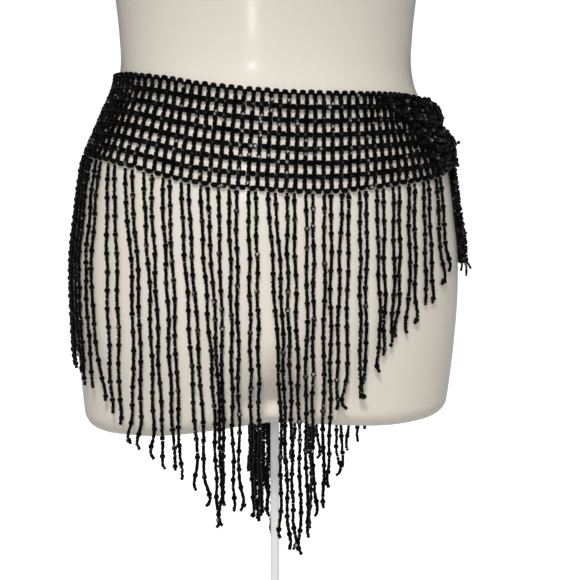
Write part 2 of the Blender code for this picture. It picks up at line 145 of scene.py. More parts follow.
# %% [markdown]
# ## Where things lie on the belt
#
# A belt is measured along its hem, so places on it are lengths along the hem from the point of the
# front fringe. To use such a length, the hem's curve is measured once round the form in small steps,
# and a lookup turns any length back into an angle. The hem's and the top edge's heights come from one
# table by angle: the belt dips at the front and is drawn together at the knot.

# %% The belt's two edges
# angle in degrees, height of the hem and of the top edge over the floor
BAND_ROWS = np.array([
    (-180, 0.4430, 0.5250),
    (-135, 0.4510, 0.5265),
    (-95, 0.4595, 0.5272),
    (-72, 0.4576, 0.5302),
    (-55, 0.4500, 0.5286),
    (-40, 0.4412, 0.5244),
    (-20, 0.4353, 0.5197),
    (-3, 0.4326, 0.5170),
    (24, 0.4309, 0.5150),
    (38, 0.4333, 0.5144),
    (52, 0.4368, 0.5132),
    (66, 0.4405, 0.5098),
    (78, 0.4460, 0.5030),
    (86, 0.4505, 0.4980),
    (98, 0.4480, 0.5030),
    (130, 0.4410, 0.5170),
])
FRINGE_POINT_ANGLE = math.radians(9)
KNOT_POSITION = 0.190  # along the hem from the point of the front fringe
EDGE_SAMPLES = 2881  # points in two turns of an edge, whose length is added up along them


def edge_height(column, angle):
    """The table's smooth curve at that angle, carried on all round."""
    turns = np.concatenate([BAND_ROWS[:, 0] - 360, BAND_ROWS[:, 0], BAND_ROWS[:, 0] + 360])
    degrees = (np.degrees(angle) + 180) % 360 - 180
    return through(turns, np.tile(BAND_ROWS[:, column], 3), degrees)


# %% Lengths along the edges
def distances_along(points):
    """How far along a line of points each one lies: the sum of the steps up to it."""
    return np.concatenate([[0], np.cumsum(np.linalg.norm(np.diff(points, axis=0), axis=1))])


def measured_edge(column):
    """Angles round the form and the lengths along an edge up to them, by adding up short chords."""
    angles = FRINGE_POINT_ANGLE + np.linspace(-2 * math.pi, 2 * math.pi, EDGE_SAMPLES)
    heights = edge_height(column, angles)
    points = place(angles, form_radius(angles, heights), heights)
    lengths = distances_along(points)
    return angles, lengths - np.interp(FRINGE_POINT_ANGLE, angles, lengths)


HEM_ANGLES, HEM_LENGTHS = measured_edge(1)
TOP_ANGLES, TOP_LENGTHS = measured_edge(2)


def hem_angle(position):
    """The angle round the form at that length along the hem."""
    return np.interp(position, HEM_LENGTHS, HEM_ANGLES)


def on_form(position, z, out):
    """The point at that place along the hem and height, that far out from the form's surface."""
    angle = hem_angle(position)
    return place(angle, form_radius(angle, z) + out, z)


def by_knot(along, z, out):
    """A point on the form at that length along the hem from the knot's middle."""
    return on_form(KNOT_POSITION + along, z, out)


print("round the form: hem %.0f mm, top edge %.0f mm" % (1000 * HEM_LENGTHS[-1], 1000 * TOP_LENGTHS[-1]))

# %% [markdown]
# ## Materials
#
# Three finishes, besides the plain thread: polished cream plastic, black glass beads, and painted
# steel. Moulded plastic and paint both have a faint unevenness that makes a reflection swim a little,
# so that effect is one node group with its own values in each material. The beads get their
# differences bead by bead, from numbers stored on the mesh, because a noise texture would run across
# neighbouring beads.


# %% A shared effect: a fine unevenness of gloss and surface
def new_nodes(tree, *kinds):
    """Shader nodes of those kinds, in that order."""
    return [tree.nodes.new("ShaderNode" + kind) for kind in kinds]


def set_inputs(node, values):
    """Gives the node's inputs of those names their values."""
    for name, value in values.items():
        node.inputs[name].default_value = value


def wire(tree, *links):
    """Makes each link: a node, its output, the node that it feeds and that node's input."""
    for node, output, fed, given in links:
        tree.links.new(node.outputs[output], fed.inputs[given])


FINER_BY = 14.0  # how much finer the small noise is than the large one
FINE_SHARE = 0.12  # and its share in the height


def unevenness_group():
    """Noise at two scales: the large one varies the gloss, the sum of both is a height for bump."""
    group = bpy.data.node_groups.new("fine_unevenness", "ShaderNodeTree")
    face = group.interface
    face.new_socket("Vector", in_out="INPUT", socket_type="NodeSocketVector")
    for name, value in (("Scale", 20.0), ("Low", 0.2), ("High", 0.3)):
        face.new_socket(name, in_out="INPUT", socket_type="NodeSocketFloat").default_value = value
    face.new_socket("Gloss", in_out="OUTPUT", socket_type="NodeSocketFloat")
    face.new_socket("Height", in_out="OUTPUT", socket_type="NodeSocketFloat")
    given, result = group.nodes.new("NodeGroupInput"), group.nodes.new("NodeGroupOutput")
    large, small, finer, total, spread = new_nodes(
        group, "TexNoise", "TexNoise", "Math", "Math", "MapRange"
    )
    set_inputs(large, {"Detail": 2.0})
    set_inputs(small, {"Detail": 3.0})
    finer.operation, finer.inputs[1].default_value = "MULTIPLY", FINER_BY
    total.operation, total.inputs[1].default_value = "MULTIPLY_ADD", FINE_SHARE
    wire(
        group,
        (given, "Vector", large, "Vector"),
        (given, "Vector", small, "Vector"),
        (given, "Scale", large, "Scale"),
        (given, "Scale", finer, 0),
        (finer, 0, small, "Scale"),
        (large, "Fac", spread, "Value"),
        (given, "Low", spread, "To Min"),
        (given, "High", spread, "To Max"),
        (small, "Fac", total, 0),
        (large, "Fac", total, 2),
        (spread, "Result", result, "Gloss"),
        (total, 0, result, "Height"),
    )
    return group


UNEVENNESS = unevenness_group()
print("shared effect:", UNEVENNESS.name)


# %% Materials that use it: the form's plastic and the stand's paint
def new_material(name, colour, roughness):
    """A plain Principled material of that colour and roughness, with its node tree and shader."""
    material = bpy.data.materials.new(name)
    material.use_nodes = True
    shader = material.node_tree.nodes["Principled BSDF"]
    set_inputs(shader, {"Base Color": (*colour, 1.0), "Roughness": roughness})
    return material, material.node_tree, shader


def uneven_gloss(name, colour, scale, low, high, bump, distance):
    """A smooth finish whose roughness runs from low to high over patches, with a faint bump."""
    material, tree, shader = new_material(name, colour, low)
    where, effect, surface = new_nodes(tree, "TexCoord", "Group", "Bump")
    effect.node_tree = UNEVENNESS
    set_inputs(effect, {"Scale": scale, "Low": low, "High": high})
    set_inputs(surface, {"Strength": bump, "Distance": distance})
    wire(
        tree,
        (where, "Object", effect, "Vector"),
        (effect, "Gloss", shader, "Roughness"),
        (effect, "Height", surface, "Height"),
        (surface, "Normal", shader, "Normal"),
    )
    return material


CREAM, DEEP_CREAM = (0.85, 0.79, 0.695), (0.84, 0.775, 0.675)
DEEP_UP_TO, CREAM_FROM = 0.20, 0.42  # heights over the floor


def form_plastic():
    """Cream plastic under a clear gloss, a touch warmer and deeper towards the underside."""
    material = uneven_gloss("cream_gloss_plastic", CREAM, 9.0, 0.20, 0.27, 0.10, 0.0006)
    tree, shader = material.node_tree, material.node_tree.nodes["Principled BSDF"]
    where, split, ramp = new_nodes(tree, "TexCoord", "SeparateXYZ", "ValToRGB")
    ends = ((DEEP_UP_TO, DEEP_CREAM), (CREAM_FROM, CREAM))
    for stop, (height, colour) in zip(ramp.color_ramp.elements, ends):
        stop.position, stop.color = height, (*colour, 1.0)
    wire(
        tree,
        (where, "Object", split, "Vector"),
        (split, "Z", ramp, "Fac"),
        (ramp, "Color", shader, "Base Color"),
    )
    set_inputs(shader, {"Coat Weight": 0.35, "Coat Roughness": 0.12})
    return material


FORM_PLASTIC = form_plastic()
STAND_PAINT = uneven_gloss("white_stand_paint", (0.93, 0.93, 0.92), 30.0, 0.32, 0.42, 0.15, 0.0004)
print("smooth finishes:", FORM_PLASTIC.name, STAND_PAINT.name)


# %% [markdown]
# ### Black glass beads
#
# Cheap glass beads aren't all alike: most are near-black with a soft shine and some are duller. A few get
# a bright speck painted into their colour, a painted highlight where light would flash on a bead. Each
# bead stores two numbers on its points: `shade`, which makes all of it a little duller or greyer, and a
# glint number, which comes near 1 at the middle of a painted highlight and fades around it.


# %% The bead material and the thread's
DARKEST, PALEST = (0.0010, 0.0010, 0.0011, 1.0), (0.0065, 0.0062, 0.0061, 1.0)
# the colour of a painted highlight, mixed into a bead's base colour where it should flash
PAINTED_GLINT_COLOUR = (0.90, 0.90, 0.88, 1.0)
PAINTED_GLINT_POWER = 2.6  # the higher, the smaller the painted highlight's speck


def bead_glass():
    """Colour and roughness from each bead's shade; the base colour goes over to the painted highlight's
    colour with the glint number raised to a power."""
    material, tree, shader = new_material("black_glass_beads", (0.012, 0.012, 0.013), 0.3)
    shade, painted_glint, ramp, mix, dull, sharpened_painted_glint = new_nodes(
        tree, "Attribute", "Attribute", "ValToRGB", "Mix", "MapRange", "Math"
    )
    shade.attribute_name, painted_glint.attribute_name = "shade", "painted_glint"
    sharpened_painted_glint.operation, sharpened_painted_glint.inputs[1].default_value = "POWER", PAINTED_GLINT_POWER
    for stop, colour in zip(ramp.color_ramp.elements, (DARKEST, PALEST)):
        stop.color = colour
    set_inputs(shader, {"Specular IOR Level": 0.12})
    mix.data_type = "RGBA"
    set_inputs(mix, {"B": PAINTED_GLINT_COLOUR})
    set_inputs(dull, {"To Min": 0.12, "To Max": 0.30})
    wire(
        tree,
        (shade, "Fac", ramp, "Fac"),
        (shade, "Fac", dull, "Value"),
        (painted_glint, "Fac", sharpened_painted_glint, 0),
        (sharpened_painted_glint, 0, mix, "Factor"),
        (ramp, "Color", mix, "A"),
        (mix, "Result", shader, "Base Color"),
        (dull, "Result", shader, "Roughness"),
    )
    return material


BEAD_GLASS = bead_glass()
THREAD, _, thread_shader = new_material("black_bead_thread", (0.012, 0.011, 0.012), 0.8)
set_inputs(thread_shader, {"Sheen Weight": 0.3})
print("on the strings:", BEAD_GLASS.name, THREAD.name)

# %% [markdown]
# ## The form's shell
#
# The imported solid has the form's shape in coarse faces. The shell drawn here is the same formula on a
# fine grid of angle and height, closed at both ends, so a reflection runs over it without corners.


# %% Grid helpers
def new_piece(name, points, faces, material):
    """A mesh object at the origin, riding on the one body, with its material."""
    mesh = bpy.data.meshes.new(name)
    mesh.from_pydata(points, [], faces)
    mesh.materials.append(material)
    mesh.shade_smooth()
    piece = bpy.data.objects.new(name, mesh)
    bpy.context.scene.collection.objects.link(piece)
    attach(piece, "root")
    return piece


def tube_quads(rings, sides):
    """Quads of a tube, ring by ring: points i and i + 1 of a ring join the same two of the next."""
    ring, side = np.meshgrid(np.arange(rings - 1), np.arange(sides), indexing="ij")
    after = (side + 1) % sides
    low, high = ring * sides, (ring + 1) * sides
    return np.stack([low + side, low + after, high + after, high + side], axis=-1).reshape(-1, 4)


def end_fans(rings, sides):
    """Triangles from a tube's first and last ring to its two end points, which follow the rings."""
    side = np.arange(sides)
    after, last, foot = (side + 1) % sides, (rings - 1) * sides, rings * sides
    return np.concatenate([
        np.stack([after, side, np.full(sides, foot)], axis=-1),
        np.stack([last + side, last + after, np.full(sides, foot + 1)], axis=-1),
    ])


def closed_tube(name, rings, material):
    """A tube from an array of rings, with a fan to the middle of each end."""
    size = rings.shape[:2]
    points = np.concatenate([rings.reshape(-1, 3), rings[:1].mean(axis=1), rings[-1:].mean(axis=1)])
    return new_piece(name, points, tube_quads(*size).tolist() + end_fans(*size).tolist(), material)


# %% The shell itself
SHELL_SIDES = 176
SHELL_ROWS = 110
ROUND_ROWS = 10
END_ROWS = 8
END_HOLE = 0.04  # size of the smallest ring on a flat end, of the end's own size


def shell_rings():
    """Rings up the form: its radius less an arc's inset at each end, and shrinking rings over both
    flat ends."""
    low, high = FORM_UNDERSIDE, FORM_UNDERSIDE + FORM_HEIGHT
    turn = np.linspace(0, math.pi / 2, ROUND_ROWS + 1)[:-1]
    bottom = low + FORM_BOTTOM_ROUND * (1 - np.cos(turn))
    top = high - FORM_TOP_ROUND * (1 - np.cos(turn[::-1]))
    middle = np.linspace(low + FORM_BOTTOM_ROUND, high - FORM_TOP_ROUND, SHELL_ROWS)
    z = np.concatenate([bottom, middle, top])
    arc = 1 - np.sin(turn)
    inset = np.concatenate([FORM_BOTTOM_ROUND * arc, np.zeros(SHELL_ROWS), FORM_TOP_ROUND * arc[::-1]])
    angle = np.linspace(0, 2 * math.pi, SHELL_SIDES, endpoint=False)
    rings = place(angle, form_radius(angle, z[:, None]) - inset[:, None], z[:, None])
    shares = np.linspace(END_HOLE, 1, END_ROWS, endpoint=False)[:, None, None]
    flat = np.array([1.0, 1.0, 0.0])
    foot = rings[0] * (flat * shares + (1 - flat))
    head = rings[-1] * (flat * shares[::-1] + (1 - flat))
    return np.concatenate([foot, rings, head])


def lift_underside(points):
    """Adds the rise between the thigh stubs and the slope towards +X, fading out up the form. The slope
    leaves a level strip in the middle, where the pole is seated."""
    fade = smooth_step(1 - (points[..., 2] - FORM_UNDERSIDE) / UNDERSIDE_FADE)
    x = points[..., 0] - np.clip(points[..., 0], -POLE_SEAT_HALF_WIDTH, POLE_SEAT_HALF_WIDTH)
    lift = UNDERSIDE_RISE * hollow(x, UNDERSIDE_HALF_WIDTH) + UNDERSIDE_SLOPE * x
    points[..., 2] += fade * lift
    return points


form_shell = closed_tube("form_shell", lift_underside(shell_rings()), FORM_PLASTIC)
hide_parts("hip_form")
print("form shell:", len(form_shell.data.polygons), "faces")

# %% [markdown]
# ## The stand
#
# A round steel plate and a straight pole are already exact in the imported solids. Redrawing them would
# add nothing that shows, so the solids stay and only take their paint.

# %% Paint on the stand
for node in ("stand_base", "stand_pole"):
    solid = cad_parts[node]
    for slot in solid.material_slots:
        slot.material = STAND_PAINT
    print(node, "is painted")

# %% [markdown]
# ## One bead, thousands of times
#
# A glass bead is a short barrel: round across its hole and blunt at its ends. Instancing an object on
# points would keep the file small, but the finished part needs real meshes. So one barrel is worked
# out as a few rings, and numpy broadcasting sets a copy of it at every place, turned along its string.


# %% The barrel
BEAD_SIDES = 8
END_CROWDING = 0.7  # under 1, a barrel's rings crowd towards its ends


def barrel(sides, bands, bluntness):
    """Rings along the hole from -1/2 to 1/2: the place along it is half the cosine of pi t, taken to
    the power END_CROWDING with its sign turned, and the radius is the sine of pi t to the power
    bluntness."""
    t = np.arange(1, bands) / bands
    cosine = np.cos(math.pi * t)
    along, radius = -np.sign(cosine) * np.abs(cosine) ** END_CROWDING / 2, np.sin(math.pi * t) ** bluntness
    turn = np.linspace(0, 2 * math.pi, sides, endpoint=False)
    rings = np.stack(np.broadcast_arrays(
        along[:, None], radius[:, None] * np.cos(turn), radius[:, None] * np.sin(turn)
    ), axis=-1).reshape(-1, 3)
    points = np.concatenate([rings, [[-0.5, 0, 0], [0.5, 0, 0]]])
    return points, tube_quads(bands - 1, sides), end_fans(bands - 1, sides)


# %% Copies of it at many places
STEEP = 0.8  # an axis that rises more than this share of its length is crossed with x, not with z


def size_of(vectors):
    """The length of each vector, in a shape that the vectors can be divided or multiplied by."""
    return np.linalg.norm(vectors, axis=-1, keepdims=True)


def bead_places(shape, centres, axes, lengths, widths):
    """Points of a copy at each centre: along the axis by its length, across it by half its width."""
    axes = axes / size_of(axes)
    helper = np.where(np.abs(axes[:, 2:]) < STEEP, [[0.0, 0.0, 1.0]], [[1.0, 0.0, 0.0]])
    second = np.cross(axes, helper)
    second /= size_of(second)
    third = np.cross(axes, second)
    unit = shape[None]
    return (
        centres[:, None]
        + unit[..., :1] * (axes * lengths[:, None])[:, None]
        + unit[..., 1:2] * (second * widths[:, None] / 2)[:, None]
        + unit[..., 2:] * (third * widths[:, None] / 2)[:, None]
    )


def joined(lots):
    """Lots of the same arrays, each array joined over all the lots."""
    return [np.concatenate(lot) for lot in zip(*lots)]


def copied_faces(quads, fans, count, points):
    """Both kinds of faces for that many copies of a bead, each starting so many points on."""
    starts = (np.arange(count) * points)[:, None, None]
    return (quads + starts).reshape(-1, 4).tolist() + (fans + starts).reshape(-1, 3).tolist()


# %% A mesh of beads with their shades and painted highlights
PAINTED_GLINT_SCATTER = 0.25  # how far from the bead's outermost point its painted highlight may lie, by the bead's width
PAINTED_GLINT_REACH = 0.62  # how far from its middle a painted highlight fades out, by the bead's width


def beads(name, centres, axes, lengths, widths, bands=5, bluntness=0.38, painted_glint_shares=0.1, faint=1.0, painted_sheen=0.0):
    """One mesh of beads, each with its own shade. A share of them gets a painted highlight near the
    outermost point, of a strength between faint and 1, and a painted sheen all over with that strength
    times the given sheen."""
    shape, quads, fans = barrel(BEAD_SIDES, bands, bluntness)
    count = len(centres)
    lengths = np.broadcast_to(np.asarray(lengths, float), (count,))
    widths = np.broadcast_to(np.asarray(widths, float), (count,))
    points = bead_places(shape, centres, axes, lengths, widths).reshape(-1, 3)
    faces = copied_faces(quads, fans, count, len(shape))
    piece = new_piece(name, points, faces, BEAD_GLASS)
    shade = np.repeat(rng.random(count)[:, None] ** 2, len(shape), axis=1)
    painted_glint = np.zeros((count, len(shape)))
    bright = rng.random(count) < painted_glint_shares
    strength = faint + (1 - faint) * rng.random(count) ** 3
    outward = centres * [1, 1, 0] / size_of(centres[:, :2])
    offsets = points.reshape(count, -1, 3) - centres[:, None]
    facing = (offsets * outward[:, None]).sum(axis=2) / widths[:, None]
    middle = np.argmax(facing + PAINTED_GLINT_SCATTER * rng.random(facing.shape), axis=1)
    away = np.linalg.norm(offsets - offsets[np.arange(count), middle][:, None], axis=2)
    # painted highlight: a spot of pale colour round the chosen point, and a painted sheen over the whole
    # bead where one is given
    spot = np.maximum(1 - away / widths[:, None] / PAINTED_GLINT_REACH, painted_sheen)
    painted_glint[bright] = spot[bright] * strength[bright, None]
    for label, value in (("shade", shade), ("painted_glint", painted_glint)):
        attribute = piece.data.attributes.new(label, "FLOAT", "POINT")
        attribute.data.foreach_set("value", value.ravel().astype(np.float32))
    print(f"{name}: {count} beads, {len(faces)} faces")
    return piece


# %% [markdown]
# ## The net
#
# The net is a square mesh: a long bead across each cell, two beads down each side and a small one at
# each crossing. The two outer rows have no bead at the crossings, so their long beads stand alone and
# make small scallops. The mesh isn't even: a table says where every so many crossings lie along the
# hem and along the top edge, and the crossings crowd together where the net is gathered into the
# knot. Crowded beads can't lie flat, so the net stands out there in small pleats.

# %% Where the net's crossings are
# number of the crossing, its place along the hem and along the top edge
COLUMN_ROWS = np.array([
    (-68, -0.696, -0.583),
    (-12, -0.178, -0.153),
    (-7, -0.129, -0.112),
    (-2, -0.087, -0.075),
    (7, -0.013, -0.007),
    (16, 0.059, 0.060),
    (20, 0.092, 0.085),
    (24, 0.127, 0.107),
    (29, 0.175, 0.146),
])
FIRST_CROSSING, LAST_CROSSING = int(COLUMN_ROWS[0, 0]), int(COLUMN_ROWS[-1, 0])
CELL_ROWS = 7
NET_OUT = 0.0022  # from the form to the middle of the net's beads
TOP_STANDS_OFF = 0.0016  # how much further out the top edge is


def hem_place(number):
    """The length along the hem at which that crossing lies."""
    return np.interp(number, COLUMN_ROWS[:, 0], COLUMN_ROWS[:, 1])


def net_point(number, rise, out):
    """A point of the net: number counts crossings along it, and rise is 0 at the hem, 1 at the top."""
    low = hem_angle(hem_place(number))
    high = np.interp(np.interp(number, COLUMN_ROWS[:, 0], COLUMN_ROWS[:, 2]), TOP_LENGTHS, TOP_ANGLES)
    angle = low + (high - low) * rise
    z = edge_height(1, angle) * (1 - rise) + edge_height(2, angle) * rise
    return place(angle, form_radius(angle, z) + out + TOP_STANDS_OFF * rise**3, z)


print("the net has", LAST_CROSSING - FIRST_CROSSING, "by", CELL_ROWS, "cells")

# %% Pleats near the knot
NATURAL_PITCH = 0.0081
PLEAT_SHARE = 0.75
PLEAT_LEAST = 0.0022  # how far out even the widest pleats come at the knot
PLEAT_SLANT = 2.0  # how far a pleat shifts from the hem to the top edge, in radians
PLEAT_ENDS = 9  # crossings from the knot to the last pleat


def pleats(number, rise):
    """How far a crossing stands out: every other one, by the leg of a triangle whose long side is the
    net's natural pitch and whose base is the pitch it has there."""
    gap = net_point(number + 0.5, rise, 0) - net_point(number - 0.5, rise, 0)
    pitch = np.minimum(np.linalg.norm(gap, axis=-1), NATURAL_PITCH)
    away = np.minimum(LAST_CROSSING - number, number - FIRST_CROSSING)
    near = smooth_step(1 - away / PLEAT_ENDS)
    leg = PLEAT_SHARE * np.sqrt(NATURAL_PITCH**2 - pitch**2) + PLEAT_LEAST * near
    wave = np.cos(math.pi * number / 2 + PLEAT_SLANT * rise * near) ** 2
    return leg * near * wave


# %% Beads along the rows and down the sides
def pleated_point(number, rise):
    """The net's point there, at the middle of its beads, with its pleat."""
    return net_point(number, rise, NET_OUT + pleats(number, rise))


# each kind of bead: its length, its width and the share of them that gets a painted highlight
ACROSS = (0.0060, 0.0051, 0.03)
CROSSING = (0.0041, 0.0049, 0.50)
EDGE_BEAD = (0.0070, 0.0050, 0.04)
DOWN = (0.0054, 0.0044, 0.10)
NEAR = 0.25  # how far before and after a bead the row gives its direction, in crossings
DOWN_SPREAD = 0.195  # from the middle of a side to the middle of each of its two beads, by its length
DOWN_SHARE = 0.45  # the most of a side's length that a bead takes up
DOWN_REACH = 0.014  # how much higher and lower the outer sides reach, between the scallops
SCALLOP = 0.0004
ROOM_SHARE = 1.06  # beads crowded along a row may overlap a little, as they stand askew
DOWN_MOST = 1.1  # a bead in a side may be this much longer than its size
OUT_OF_PLACE = 0.00018  # spreads of the beads' places, of their directions and of their widths
OUT_OF_LINE = 0.08
UNEVEN_WIDTH = 0.03


def lot_of(kind, centres, axes, lengths):
    """Beads of one kind at those places: its width and its share of painted highlights go to each of them.
    """
    centres, axes = centres.reshape(-1, 3), axes.reshape(-1, 3)
    return centres, axes, lengths.ravel(), np.full(len(axes), kind[1]), np.full(len(axes), kind[2])


def along_row(numbers, rows, lift, kind):
    """Beads whose hole runs along the row, at those crossing numbers and rises."""
    at, rise = np.meshgrid(numbers, rows, indexing="ij")
    axes = pleated_point(at + NEAR, rise) - pleated_point(at - NEAR, rise)
    centres = pleated_point(at, rise)
    centres[..., 2] += lift
    pitch = np.linalg.norm(axes, axis=-1) / (2 * NEAR)
    room = pitch * kind[0] / (ACROSS[0] + CROSSING[0])
    return lot_of(kind, centres, axes, np.minimum(kind[0], room * ROOM_SHARE))


def down_sides(numbers, rows):
    """Two beads end to end in the middle of each side, from one row's crossing up to the next one's."""
    at, low_rise = np.meshgrid(numbers, rows[:-1], indexing="ij")
    high_rise = low_rise + rows[1]
    low_rise = low_rise - DOWN_REACH * (low_rise == 0)
    high_rise = high_rise + DOWN_REACH * (high_rise > rows[-2] + rows[1] / 2)
    low, high = pleated_point(at, low_rise), pleated_point(at, high_rise)
    spread = DOWN_SPREAD * (high - low)
    centres = np.stack([(low + high) / 2 - spread, (low + high) / 2 + spread], axis=2)
    axes = np.repeat((high - low)[:, :, None], 2, axis=2)
    lengths = np.minimum(DOWN[0] * DOWN_MOST, np.linalg.norm(axes, axis=-1) * DOWN_SHARE)
    return lot_of(DOWN, centres, axes, lengths)


# %% The net itself
def net_beads(name, lots, **looks):
    """Beads of several lots as one mesh, each a little out of place and out of line."""
    centres, axes, lengths, widths, painted_glint_shares = joined(lots)
    centres += rng.normal(0, OUT_OF_PLACE, centres.shape)
    axes += rng.normal(0, OUT_OF_LINE, axes.shape) * size_of(axes)
    widths *= rng.normal(1, UNEVEN_WIDTH, len(widths))
    piece = beads(name, centres, axes, lengths, widths, painted_glint_shares=painted_glint_shares, **looks)
    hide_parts("net_band")
    return piece


rows = np.arange(CELL_ROWS + 1) / CELL_ROWS
numbers = np.arange(FIRST_CROSSING, LAST_CROSSING + 1).astype(float)
middles = numbers[:-1] + 0.5
# faint sets how weak the painted highlights on the net's beads may be
net = net_beads("net_beads", (
    along_row(middles, rows[1:-1], 0, ACROSS), down_sides(numbers, rows),
), bluntness=0.60, faint=0.90)
edge_beads = net_beads("net_edge_beads", (
    along_row(middles, rows[:1], -SCALLOP, EDGE_BEAD), along_row(middles, rows[-1:], SCALLOP, EDGE_BEAD),
), bands=6, bluntness=0.85, faint=0.80)
crossing_beads = net_beads("net_crossing_beads", (
    along_row(numbers, rows[1:-1], 0, CROSSING),
), faint=0.36)

# %% [markdown]
# ## Beads threaded on a string
#
# Fringe, knot and ties are all strings of beads. A curve with beads as an array along it would bend
# each bead. Here a path is measured by adding up its short steps, the beads' lengths are added up too,
# and each bead sits straight on the path at the middle of its own length.

# %% Strings of beads along a path
LOOK_AHEAD = 0.001  # how far before and after a bead's middle the path gives its direction
MOST_BEADS = 400  # more than the longest string can take
STRING_LINE = 0.15  # spreads of direction and of width on a wound string
STRING_WIDTH = 0.07
STRING_LENGTH = 1.04  # wound beads touch, so each is drawn a little longer than its room


def along_path(path, sizes):
    """Middles and directions of beads of those sizes threaded end to end along a path."""
    steps = distances_along(path)
    ends = np.cumsum(sizes)
    middles = (ends - sizes / 2)[ends <= steps[-1] + LOOK_AHEAD]
    before, after = np.clip(middles - LOOK_AHEAD, 0, None), middles + LOOK_AHEAD

    def at(lengths):
        """The path's points at those lengths along it."""
        return np.stack([np.interp(lengths, steps, path[:, i]) for i in range(3)], axis=-1)

    return at(middles), at(after) - at(before)


def string_beads(name, paths, node, size, unseat=0.0002):
    """Beads of one size threaded along each of the paths, out of place by about as much as unseat."""
    centres, axes = joined([along_path(path, np.full(MOST_BEADS, size[0])) for path in paths])
    centres += rng.normal(0, unseat, centres.shape)
    axes = axes + rng.normal(0, STRING_LINE, axes.shape) * size_of(axes)
    widths = size[1] * rng.normal(1, STRING_WIDTH, len(centres))
    # half of these beads get a painted highlight, spread into a faint painted sheen over the whole bead
    piece = beads(name, centres, axes, size[0] * STRING_LENGTH, widths, bands=4, painted_glint_shares=0.50, faint=0.30,
                  painted_sheen=0.34)
    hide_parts(node)
    return piece


# %% [markdown]
# ## Where the net is gathered
#
# Towards the knot the net is pushed together until no hole is left. Its strings bunch up there in
# folds, so more strings are laid over the net from where it starts to bunch up to the knot, on both
# sides, each wandering up and down and in and out.

# %% The gathered strings
# rise, number of the crossing
BUNCHED_FROM = np.array([
    (0.07, 25.0), (0.21, 25.0), (0.36, 24.4), (0.50, 24.1), (0.64, 23.4), (0.79, 21.6), (0.93, 17.9),
])
BUNCHED_TO = 29.6
BUNCHED_STRINGS = 26
BUNCHED_BEAD = (0.0038, 0.0042)
BUNCHED_SAMPLES, DRAWN_SAMPLES = 60, 14  # over the net and into the knot
BUNCHED_OUT = 0.0012  # over the net's beads
STARTS_EARLY, STARTS_LATE = -0.5, 0.7  # how much sooner or later than the table says one starts
WANDER_FADE = 3  # crossings from its start to where it wanders fully
WANDER = 0.022  # as a share of the net's height
FOLD = 0.0022
LONG_WAVE, SHORT_WAVE = 0.35, 0.75  # radians from one crossing to the next
DRAWN_TO = 0.005  # how far from the knot's middle they end inside it
DRAWN_OUT = 0.0045
DRAWN_LOW, DRAWN_HIGH = 0.450, 0.490  # heights over the floor of the lowest and the highest end


def bunched_path(index, beyond):
    """One gathered string: one sine moves it up and down, another out from the form, and a short
    S-shaped run takes it into the knot. Beyond the knot the same is done from the net's other end."""
    rise = (index + 0.5) / BUNCHED_STRINGS
    start = np.interp(rise, *BUNCHED_FROM.T) + rng.uniform(STARTS_EARLY, STARTS_LATE)
    number = np.linspace(start, BUNCHED_TO, BUNCHED_SAMPLES)
    phase, turns = rng.uniform(0, 2 * math.pi, 2), rng.uniform(LONG_WAVE, SHORT_WAVE, 2)
    near = smooth_step((number - start) / WANDER_FADE)
    wander = rise + WANDER * near * np.sin(turns[0] * number + phase[0])
    out = NET_OUT + BUNCHED_OUT + FOLD * near * (1 + np.sin(turns[1] * number + phase[1]))
    if beyond:
        number = FIRST_CROSSING - (number - LAST_CROSSING)
    line = net_point(number, np.clip(wander, 0, 1), out)
    height = DRAWN_LOW + (DRAWN_HIGH - DRAWN_LOW) * rise
    end = by_knot(DRAWN_TO if beyond else -DRAWN_TO, height, DRAWN_OUT)
    way = smooth_step(np.linspace(0, 1, DRAWN_SAMPLES)[1:, None])
    return np.concatenate([line, line[-1] + (end - line[-1]) * way])


paths = [bunched_path(i, beyond) for beyond in (False, True) for i in range(BUNCHED_STRINGS)]
bunched = string_beads("net_gathered_beads", paths, "net_band", BUNCHED_BEAD, unseat=0.0004)

# %% [markdown]
# ## The fringe
#
# Each string hangs from a crossing of the hem on a short bare thread: small beads with a larger one
# after every sixth. The strings lie on the form down to the widest part of the hips and swing clear
# below it, come together in pairs, and curl at their loose ends. A hair system would hang them evenly,
# but hand-threaded strings grade to their point in uneven steps and lean on each other, so a table
# says how the strings at some crossings hang, and the ones between follow from it.

# %% The fringe's sizes
STRING_OUT = 0.0027  # from the form to a string's middle, where it lies on it
ROOT_DROP = 0.0029  # from the hem to a string's first bead
HANG_LEAN = 0.04  # how fast a string swings back in below the form's widest part
HANG_SAMPLES = 40
PAIR_SHIFT = 0.00095  # neighbours hang in pairs, each drawn this far to the other
BUNDLE = (-46, -39)  # the first and the last crossing whose strings hang in one bundle, not in pairs
BUNDLE_SWELL = 1.2  # how much wider than the others the bundle's small beads are
FIRST_OF_FRONT, LAST_OF_FRONT = -21, 26
